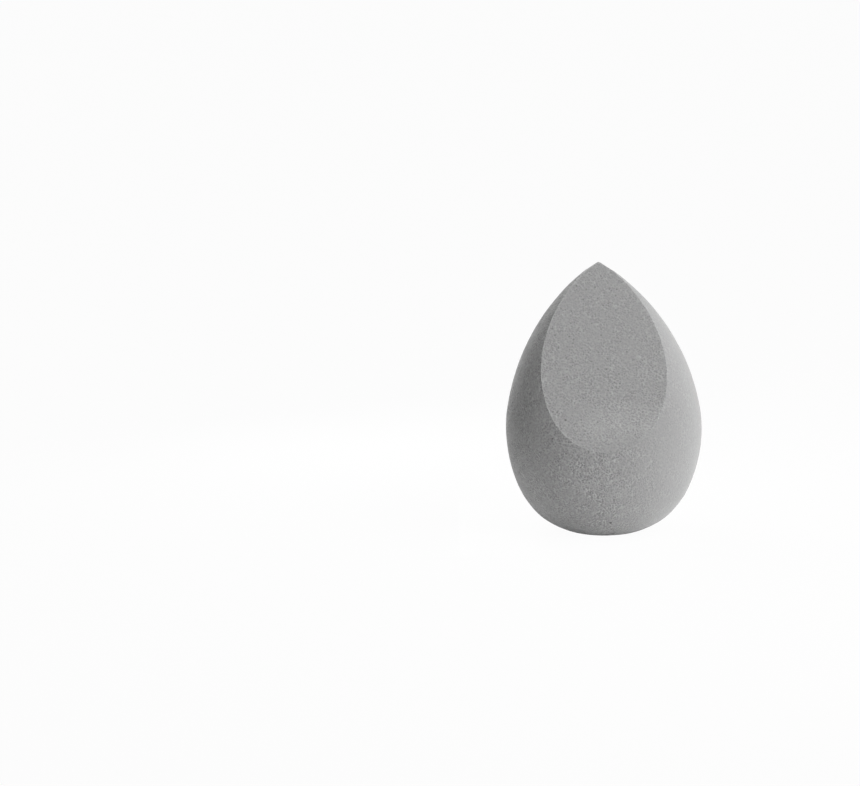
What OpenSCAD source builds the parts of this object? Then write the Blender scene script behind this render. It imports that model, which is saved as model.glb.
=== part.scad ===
// Teardrop makeup sponge of soft foam, standing on a small flat foot.
// The moulded body is one turned outline of four arcs, each tangent to the next.
// A straight knife cut takes the front away and leaves one flat slanted face.
// The middle line of the body is the Z axis, and the cut faces -Y and up.

/* [Moulded body] */
// Greatest width of the body
body_d = 43.3; // [38:0.1:48]
// Height of the widest ring above the foot
ring_h = 22.8; // [20:0.1:26]
// Height of the moulded tip, before the cut
tip_h = 60.4; // [54:0.1:68]
// Width of the flat foot
foot_d = 14.5; // [11:0.1:18]

/* [Side curves] */
// Radius of the shoulder curve, which leaves the widest ring upwards
shoulder_r = 30; // [26:0.5:40]
// Height of the shoulder curve above the widest ring
shoulder_rise = 5; // [2:0.5:8]
// Radius of the belly curve, which leaves the widest ring downwards
belly_r = 31; // [26:0.5:40]
// Depth of the belly curve below the widest ring
belly_drop = 13.5; // [10:0.5:16]

/* [Slanted face] */
// Angle between the slanted face and the middle line, in degrees
cut_tilt = 30; // [24:0.5:40]
// Distance below the moulded tip at which the cut crosses the middle line
cut_drop = 1.5; // [0.5:0.1:4]

/* [Hidden] */
$fn = 180;
foam_colour = "#999999";

body_r = body_d / 2;
foot_edge = [foot_d / 2, 0];
tip = [0, tip_h];

// The shoulder and the belly both start upright at the widest ring
shoulder_centre = [body_r - shoulder_r, ring_h];
shoulder_angle = asin(shoulder_rise / shoulder_r);
shoulder_way = [cos(shoulder_angle), sin(shoulder_angle)];
shoulder_end = shoulder_centre + shoulder_r * shoulder_way;
belly_centre = [body_r - belly_r, ring_h];
belly_angle = asin(belly_drop / belly_r);
belly_way = [cos(belly_angle), -sin(belly_angle)];
belly_end = belly_centre + belly_r * belly_way;

// The flank runs on from the shoulder to the tip, and the base from the belly to the foot's edge
flank_r = closing_radius(shoulder_end, tip, shoulder_way);
flank_centre = shoulder_end - flank_r * shoulder_way;
base_r = closing_radius(belly_end, foot_edge, belly_way);
base_centre = belly_end - base_r * belly_way;

// At two joins the rounder arc stands proud by a hair and runs on a little, so that the arcs cross
join_proud = 0.001;
join_lap = 1;

// The knife is a block that is larger than the whole body
cut_h = tip_h - cut_drop;
knife = tip_h + body_d;

// Radius of the arc that starts at one point, square to a direction, and ends at another
function closing_radius(start, end, way) = (start - end) * (start - end) / (2 * (start - end) * way);

// What a disc and its core cover between two heights, on the right of the middle line
module band(centre, radius, low, high) {
    intersection() {
        union() {
            translate(centre)
                circle(radius);
            if (centre.x > 0)
                translate([0, low])
                    square([centre.x, high - low]);
        }
        translate([0, low])
            square([body_d, high - low]);
    }
}

// Half of the moulded outline, from the foot to the tip
module half_outline() {
    band(base_centre, base_r + join_proud, foot_edge.y, belly_end.y + join_lap);
    band(belly_centre, belly_r, belly_end.y, ring_h);
    band(shoulder_centre, shoulder_r, ring_h, shoulder_end.y + join_lap);
    band(flank_centre, flank_r - join_proud, shoulder_end.y, tip.y);
}

module moulded_body() {
    rotate_extrude()
        half_outline();
}

// Everything in front of the slanted face
module knife_cut() {
    translate([0, 0, cut_h])
        rotate([-cut_tilt, 0, 0])
            translate([-knife / 2, -knife, -knife / 2])
                cube(knife);
}

// The sponge is one piece of foam
module sponge() {
    color(foam_colour)
        difference() {
            moulded_body();
            knife_cut();
        }
}

sponge();
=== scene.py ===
import math

import bpy
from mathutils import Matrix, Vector


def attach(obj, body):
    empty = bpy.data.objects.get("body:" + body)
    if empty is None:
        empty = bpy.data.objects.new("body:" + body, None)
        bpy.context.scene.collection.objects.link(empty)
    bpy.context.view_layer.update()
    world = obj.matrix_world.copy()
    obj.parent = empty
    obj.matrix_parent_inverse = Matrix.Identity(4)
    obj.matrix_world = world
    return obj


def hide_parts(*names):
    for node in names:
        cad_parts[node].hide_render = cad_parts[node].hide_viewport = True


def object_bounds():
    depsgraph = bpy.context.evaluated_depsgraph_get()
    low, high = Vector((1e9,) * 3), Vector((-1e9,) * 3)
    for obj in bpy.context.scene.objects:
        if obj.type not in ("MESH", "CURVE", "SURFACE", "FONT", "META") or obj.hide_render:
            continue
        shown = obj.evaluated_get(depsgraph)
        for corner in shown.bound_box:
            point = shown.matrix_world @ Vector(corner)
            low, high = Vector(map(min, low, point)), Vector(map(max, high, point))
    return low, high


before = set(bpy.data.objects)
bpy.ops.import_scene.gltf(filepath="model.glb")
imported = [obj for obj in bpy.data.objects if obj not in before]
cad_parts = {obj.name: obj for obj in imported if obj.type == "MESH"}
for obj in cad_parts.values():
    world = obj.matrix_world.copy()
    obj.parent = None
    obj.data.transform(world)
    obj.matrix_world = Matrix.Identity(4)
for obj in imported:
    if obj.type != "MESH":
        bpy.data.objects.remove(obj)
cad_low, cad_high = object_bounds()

bpy.ops.object.select_all(action="DESELECT")


# Foam sponge
# The real one is a single moulded teardrop of dry, fine-celled polyurethane foam, mid grey all through.
# One straight pass of a knife leaves its slanted face, with a crisp rim all round.
# It stands on a small flat foot, and this one's tip leans a hair to the left.
MM = 0.001
merge_gap = 0.001 * MM
grid_depth = 8
grid_share = 0.72
rim_angle = math.radians(22)
cut_tilt = math.radians(30)
cut_height = 58.9 * MM
cut_gap = 0.05 * MM
tip_lean = -1.35 * MM
lean_start = 12.0 * MM
lean_power = 2.4
base_share = 0.015
base_middle = 3.0 * MM
pinch_share = 0.35
pinch_start = 57.5 * MM
pinch_power = 2


def finish_modifier(piece, kind, **settings):
    modifier = piece.modifiers.new(kind.lower(), kind)
    for name, value in settings.items():
        setattr(modifier, name, value)
    bpy.context.view_layer.objects.active = piece
    bpy.ops.object.modifier_apply(modifier=modifier.name)


def copy_of_node(node, name):
    piece = bpy.data.objects.new(name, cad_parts[node].data.copy())
    bpy.context.scene.collection.objects.link(piece)
    piece.select_set(True)
    bpy.context.view_layer.objects.active = piece
    bpy.ops.object.mode_set(mode="EDIT")
    bpy.ops.mesh.select_all(action="SELECT")
    bpy.ops.mesh.remove_doubles(threshold=merge_gap)
    bpy.ops.object.mode_set(mode="OBJECT")
    piece.data.materials.clear()
    return piece


# An even mesh, a third of a millimetre fine, whose points lie on the rim
foam = copy_of_node("sponge", "foam_sponge")
finish_modifier(foam, "REMESH", mode="SHARP", octree_depth=grid_depth, scale=grid_share)

# The slanted face and its rim are marked, because the cut foam looks finer than the moulded skin, and the rim
# at the left carries a painted highlight
cut_way = Vector((0, -math.cos(cut_tilt), math.sin(cut_tilt)))
cut_mark = foam.data.attributes.new("cut", "FLOAT", "FACE")
rim_mark = foam.data.attributes.new("rim", "FLOAT", "POINT")
cut_points, skin_points = set(), set()
for face in foam.data.polygons:
    if abs((face.center - Vector((0, 0, cut_height))).dot(cut_way)) < cut_gap:
        cut_mark.data[face.index].value = 1
        cut_points.update(face.vertices)
    else:
        skin_points.update(face.vertices)
for index in cut_points & skin_points:
    rim_mark.data[index].value = 1

# The base is a hair fuller than a true arc, and the body leans towards its tip, which is drawn in to a point
for vertex in foam.data.vertices:
    fullness = 1 + base_share * max(0, 1 - abs(vertex.co.z / base_middle - 1))
    rise = max(0, vertex.co.z - lean_start) / (cad_high.z - lean_start)
    pinch = max(0, vertex.co.z - pinch_start) / (cad_high.z - pinch_start)
    vertex.co.y *= fullness
    vertex.co.x *= fullness * (1 - pinch_share * pinch ** pinch_power)
    vertex.co.x += tip_lean * rise ** lean_power

# The whole surface has broad soft swells and a fine grain, and the foot stays flat
cloud_detail = 1
cloud_middle = 0.45
for name, size, depth in (
    ("swell", 7 * MM, 0.10 * MM),
    ("grain", 0.9 * MM, 0.05 * MM),
):
    clouds = bpy.data.textures.new(name, "CLOUDS")
    clouds.noise_scale = size
    clouds.noise_depth = cloud_detail
    finish_modifier(
        foam, "DISPLACE", texture=clouds, texture_coords="LOCAL", strength=depth, mid_level=cloud_middle
    )
for vertex in foam.data.vertices:
    vertex.co.z = max(vertex.co.z, cad_low.z)
foam.select_set(True)
bpy.ops.object.shade_smooth_by_angle(angle=rim_angle)


class Socket:
    """One output of a shader node, for use in sums and products."""

    def __init__(self, shader, output):
        self.shader = shader
        self.output = output

    def maths(self, operation, first, second):
        return self.shader.node("ShaderNodeMath", {"operation": operation}, {0: first, 1: second})

    def __add__(self, other):
        return self.maths("ADD", self, other)

    def __radd__(self, other):
        return self.maths("ADD", other, self)

    def __sub__(self, other):
        return self.maths("SUBTRACT", self, other)

    def __rsub__(self, other):
        return self.maths("SUBTRACT", other, self)

    def __mul__(self, other):
        return self.maths("MULTIPLY", self, other)

    def __rmul__(self, other):
        return self.maths("MULTIPLY", other, self)


class Shader:
    """The node tree of a material or of the world, emptied first."""

    def __init__(self, owner):
        owner.use_nodes = True
        self.tree = owner.node_tree
        self.tree.nodes.clear()

    def node(self, kind, settings, inputs, output=0):
        made = self.tree.nodes.new(kind)
        for name, value in settings.items():
            setattr(made, name, value)
        for name, value in inputs.items():
            if isinstance(value, Socket):
                self.tree.links.new(value.output, made.inputs[name])
            else:
                made.inputs[name].default_value = value
        return Socket(self, made.outputs[output])

    def ramp(self, value, start, end):
        """Rises smoothly from 0 at the start to 1 at the end."""
        limits = {"Value": value, "From Min": start, "From Max": end}
        return self.node("ShaderNodeMapRange", {"interpolation_type": "SMOOTHSTEP"}, limits, "Result")

    def finish(self, kind, surface):
        end = self.tree.nodes.new(kind)
        self.tree.links.new(surface.output, end.inputs["Surface"])


foam_paint = bpy.data.materials.new("dry_foam")
shader = Shader(foam_paint)
place = shader.node("ShaderNodeTexCoord", {}, {}, "Object")
across = shader.node("ShaderNodeSeparateXYZ", {}, {"Vector": place}, "X")
height = shader.node("ShaderNodeSeparateXYZ", {}, {"Vector": place}, "Z")
cut = shader.node("ShaderNodeAttribute", {"attribute_name": "cut"}, {}, "Fac")
rim = shader.node("ShaderNodeAttribute", {"attribute_name": "rim"}, {}, "Fac")

# Cells about half a millimetre across, in loose patches. Their colour is painted darker in the cell pits as
# shade, and that painted shade and their relief are strongest in the skin at the left, on the shaded side,
# and weakest at the right, where the light falls. The slanted face calms a little towards the tip.
cell_scale = 2200
fluff_scale = 2500
patch_scale = 420
grain_detail = 1.0
patch_edges = (0.35, 0.65)
patch_least = 0.65
patch_gain = 0.7
grain_and_shade_left = 0.94
grain_and_shade_right = 0.32
fine_span = (-2 * MM, 14 * MM)
coarse_cut = 0.61
tip_calm = 0.12
calm_span = (34 * MM, 50 * MM)
fluff_share = 0.4
cell_share = 0.7
grain_middle = 0.5


def noise(scale, detail):
    return shader.node("ShaderNodeTexNoise", {}, {"Vector": place, "Scale": scale, "Detail": detail}, "Fac")


def cell_distance(scale):
    inputs = {"Vector": place, "Scale": scale}
    return shader.node("ShaderNodeTexVoronoi", {"feature": "F1"}, inputs, "Distance")


cells = cell_distance(cell_scale)
fluff = noise(fluff_scale, grain_detail)
patch = noise(patch_scale, grain_detail)
skin_grain_and_shade = grain_and_shade_left + (grain_and_shade_right - grain_and_shade_left) * shader.ramp(across, *fine_span)
cut_coarse = coarse_cut - tip_calm * shader.ramp(height, *calm_span)
patchiness = patch_least + patch_gain * shader.ramp(patch, *patch_edges)
coarse = (cut_coarse * cut + (1 - cut) * skin_grain_and_shade) * patchiness
# The cell centres are painted darker as shade in the pits, over the foam's random grain
grain = coarse * (fluff_share * (fluff - grain_middle) + cell_share * (cells - grain_middle))

# A scatter of larger pores, painted darker as shade in their holes and fainter towards the right where the
# light falls, and three that stand out. Each of the three has its place in millimetres, its reach, and how
# dark its painted shade is against the scatter.
pore_scale = 700
pore_edges = (0.08, 0.2)
pore_core = 0.3
pore_shade_depth = 0.28
cut_pores = 0.2
single_pores = (
    ((-8.77, -17.85, 28.0), 0.34 * MM, 1.9),
    ((1.2, -15.16, 4.42), 0.44 * MM, 3.2),
    ((-11.66, -18.24, 23.92), 0.27 * MM, 2.3),
)


def distance_from(spot):
    centre = [MM * value for value in spot]
    return shader.node("ShaderNodeVectorMath", {"operation": "DISTANCE"}, {0: place, 1: centre}, "Value")


pore_shade = (1 - shader.ramp(cell_distance(pore_scale), *pore_edges)) * (1 + cut_pores * cut) * skin_grain_and_shade
for spot, reach, darkness in single_pores:
    pore_shade = pore_shade + darkness * (1 - shader.ramp(distance_from(spot), pore_core * reach, reach))

# Painted light makes the cut foam a little paler low down, and a painted highlight makes the rim at the left
# paler too
foam_grey = 0.32
blotch_scale = 260
blotch_detail = 3.0
blotch_share = 0.04
band_light_gain = 0.12
low_starts = (21.5 * MM, 26.5 * MM)
low_ends = (27.5 * MM, 33 * MM)
low_left_edge = (-9 * MM, -1.5 * MM)
rim_highlight_gain = 0.22
rim_fades = (-6 * MM, 4 * MM)
blotch = noise(blotch_scale, blotch_detail)
# Painted light: a paler band low on the slanted face
painted_light_band = shader.ramp(height, *low_starts) * (1 - shader.ramp(height, *low_ends))
painted_light_band = painted_light_band * shader.ramp(across, *low_left_edge)
# Painted highlight along the rim at the left
left_rim_highlight = rim * (1 - shader.ramp(across, *rim_fades))
cut_painted_light = 1 + cut * (band_light_gain * painted_light_band + rim_highlight_gain * left_rim_highlight)
tone = (1 + grain + blotch_share * (blotch - grain_middle)) * cut_painted_light
# The pores' painted shade darkens the grey
tone = foam_grey * tone * (1 - pore_shade_depth * pore_shade)

# Painted shade darkens the skin faintly beside the rim and near the foot at the right, and painted light
# makes it paler below the slanted face. Each patch has its place in millimetres, its reach, and its change of
# tone.
painted_shade_and_light_patches = (
    ((14.2, -15.0, 28.5), 13 * MM, -0.05),
    ((5.0, -11.5, 2.0), 8 * MM, -0.1),
    ((-4.8, -20.1, 14.5), 10 * MM, 0.06),
)
for spot, reach, change in painted_shade_and_light_patches:
    tone = tone * (1 + change * (1 - cut) * (1 - shader.ramp(distance_from(spot), 0, reach)))
colour = shader.node("ShaderNodeCombineColor", {}, {"Red": tone, "Green": tone, "Blue": tone}, "Color")

# The walls between the same cells stand out a little, and the matt foam lets a little light into itself
grain_depth = 0.3 * MM
relief_share = 0.6
cell_middle = 0.55
relief = coarse * (relief_share * (cells - cell_middle) + relief_share * (fluff - grain_middle))
bump_inputs = {"Strength": 1.0, "Distance": grain_depth, "Height": relief}
bump = shader.node("ShaderNodeBump", {}, bump_inputs, "Normal")
shell = shader.node("ShaderNodeBsdfPrincipled", {}, {
    "Base Color": colour,
    "Normal": bump,
    "Roughness": 0.95,
    "IOR": 1.3,
    "Diffuse Roughness": 0.8,
    "Subsurface Weight": 0.2,
    "Subsurface Radius": (1.0, 1.0, 1.0),
    "Subsurface Scale": 2.5 * MM,
    "Sheen Weight": 0.25,
    "Sheen Roughness": 0.5,
}, "BSDF")
shader.finish("ShaderNodeOutputMaterial", shell)
foam.data.materials.append(foam_paint)

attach(foam, "root")
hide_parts("sponge")


# Table
# A plain white table top that runs out of sight all round.
# It takes the sponge's soft shadow, and throws light back up under it.
table_size = 40.0
table_white = 0.8
full_white = (1, 1, 1, 1)
shadow_share = 0.04
bpy.ops.object.select_all(action="DESELECT")
bpy.ops.mesh.primitive_plane_add(size=table_size)
table = bpy.context.object
table.name = "table_top"


def looked_at(shader):
    rays = [
        shader.node("ShaderNodeLightPath", {}, {}, name)
        for name in ("Is Camera Ray", "Is Glossy Ray", "Is Transmission Ray")
    ]
    return rays[0] + rays[1] + rays[2]


table_paint = bpy.data.materials.new("white_table")
shader = Shader(table_paint)
white = (table_white, table_white, table_white, 1)
matt = shader.node("ShaderNodeBsdfDiffuse", {}, {"Color": white}, "BSDF")
glow = shader.node("ShaderNodeEmission", {}, {"Color": full_white, "Strength": 1.0}, "Emission")
whiteness = (1 - shadow_share) * looked_at(shader)
top = shader.node("ShaderNodeMixShader", {}, {0: whiteness, 1: matt, 2: glow}, "Shader")
shader.finish("ShaderNodeOutputMaterial", top)
table.data.materials.append(table_paint)


# Studio light
# A soft box close by at the right, a low lamp nearer the camera and a small box behind at the left,
# in a dim room that is white where the camera looks at it.
# Two small cards of light close at the left lift the shaded side, and its outline most of all.
room_light = 0.15
world = bpy.data.worlds.new("room")
bpy.context.scene.world = world
shader = Shader(world)
brightness = room_light + (1 - room_light) * looked_at(shader)
sky = shader.node("ShaderNodeBackground", {}, {"Color": full_white, "Strength": brightness}, "Background")
shader.finish("ShaderNodeOutputWorld", sky)


def add_lamp(kind, name, azimuth, elevation, stand):
    turned, up = math.radians(azimuth), math.radians(elevation)
    towards = Vector((math.sin(turned) * math.cos(up), -math.cos(turned) * math.cos(up), math.sin(up)))
    bpy.ops.object.light_add(type=kind, location=[MM * value for value in stand])
    lamp = bpy.context.object
    lamp.name = name
    lamp.rotation_euler = towards.to_track_quat("Z", "Y").to_euler()
    lamp.visible_camera = False
    return lamp.data


# Each box has the direction its light comes from in degrees, its place and size in millimetres, and its watts
for name, azimuth, elevation, stand, wide, tall, watts in (
    ("soft_box", 65, 40, (174, -81, 191), 250, 250, 0.48),
    ("back_box", -150, 26.6, (-60, 104, 80), 60, 60, 0.083),
    ("tall_card", -90, 0, (-30, 30, 54), 50, 62, 0.0188),
    ("low_card", -90, 0, (-32, 0, 8), 60, 16, 0.0019),
):
    box = add_lamp("AREA", name, azimuth, elevation, stand)
    box.shape = "RECTANGLE"
    box.size = wide * MM
    box.size_y = tall * MM
    box.energy = watts

# The low lamp is far off, so only its direction, its spread and its strength count
low_lamp_azimuth = 35
low_lamp_elevation = 5
low_lamp_spread = math.radians(60)
low_lamp_strength = 3.49
low_lamp = add_lamp("SUN", "low_lamp", low_lamp_azimuth, low_lamp_elevation, (0, 0, 0))
low_lamp.angle = low_lamp_spread
low_lamp.energy = low_lamp_strength


# Camera
# The photograph's own view: a long lens a little above the sponge, which stands right of the middle.
# The sponge's place in the frame is where the aim point falls, in the photograph's pixels.
photo_wide = 860
photo_high = 786
aim_column = 604.05
aim_row = 400.2
pixels_per_metre = 4520
camera_distance = 2.02
camera_azimuth = math.radians(-1.2)
camera_elevation = math.radians(10.7)
sensor_width = 36
aim_height = 29.0 * MM
aim = Vector((0, 0, aim_height))
back = Vector((
    math.sin(camera_azimuth) * math.cos(camera_elevation),
    -math.cos(camera_azimuth) * math.cos(camera_elevation),
    math.sin(camera_elevation),
))
focal = pixels_per_metre * camera_distance
turn = math.atan((aim_column - photo_wide / 2) / focal / math.cos(camera_elevation))
tip_up = math.atan((aim_row - photo_high / 2) / focal)
bpy.ops.object.camera_add(location=aim + camera_distance * back)
camera = bpy.context.object
camera.data.sensor_width = sensor_width
camera.data.lens = sensor_width * focal / photo_wide
camera.rotation_euler = (math.pi / 2 - camera_elevation + tip_up, 0, camera_azimuth + turn)
bpy.context.scene.camera = camera
bpy.context.scene.view_settings.view_transform = "Standard"
